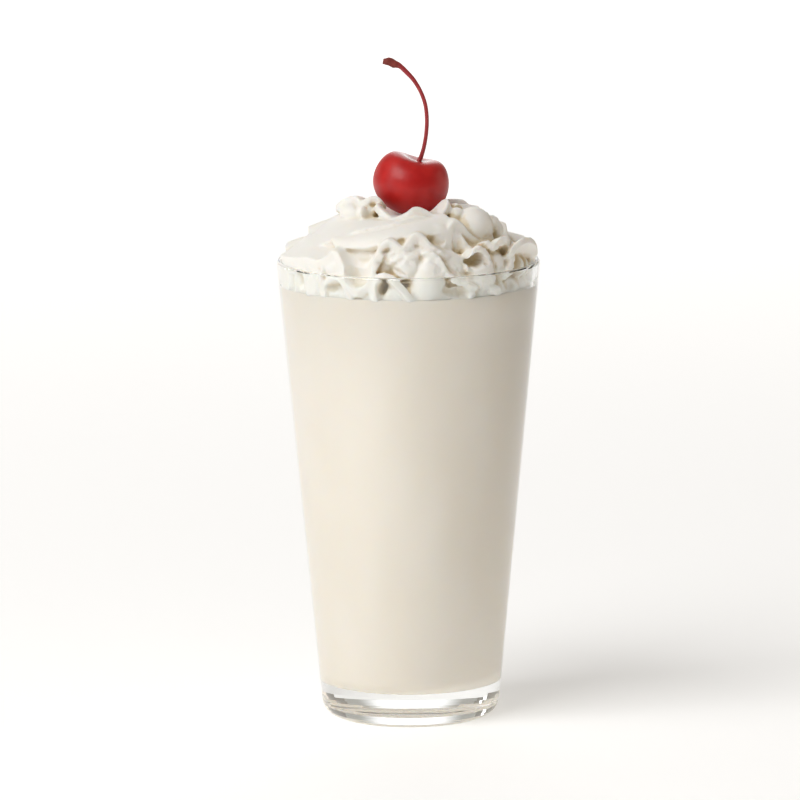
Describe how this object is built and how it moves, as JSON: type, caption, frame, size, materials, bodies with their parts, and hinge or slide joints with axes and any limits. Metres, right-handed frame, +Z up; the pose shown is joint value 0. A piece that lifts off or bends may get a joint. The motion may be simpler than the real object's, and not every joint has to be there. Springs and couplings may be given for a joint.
{
  "type": "vanilla milkshake",
  "caption": "Vanilla milkshake in a tapered mixing glass, topped with a ruffled swirl of piped whipped cream and a cherry on its stem.",
  "frame": {"origin": "centre of the glass's foot, on the table", "axes": "+Z up along the glass's axis, -Y towards the viewer, +X to the viewer's right; the cherry's stem bends towards -X"},
  "size_m": [0.09, 0.09, 0.2277],
  "materials": {
    "glass": "clear, smooth",
    "milkshake": "creamy, smooth",
    "whipped_cream": "soft sheen",
    "cherry": "wet, glossy",
    "cherry_stem": "satin"
  },
  "bodies": {
    "root": {"glass": "glass", "milkshake": "milkshake", "whipped_cream": "whipped_cream", "cherry": "cherry", "cherry_stem": "cherry_stem"}
  },
  "joints": []
}
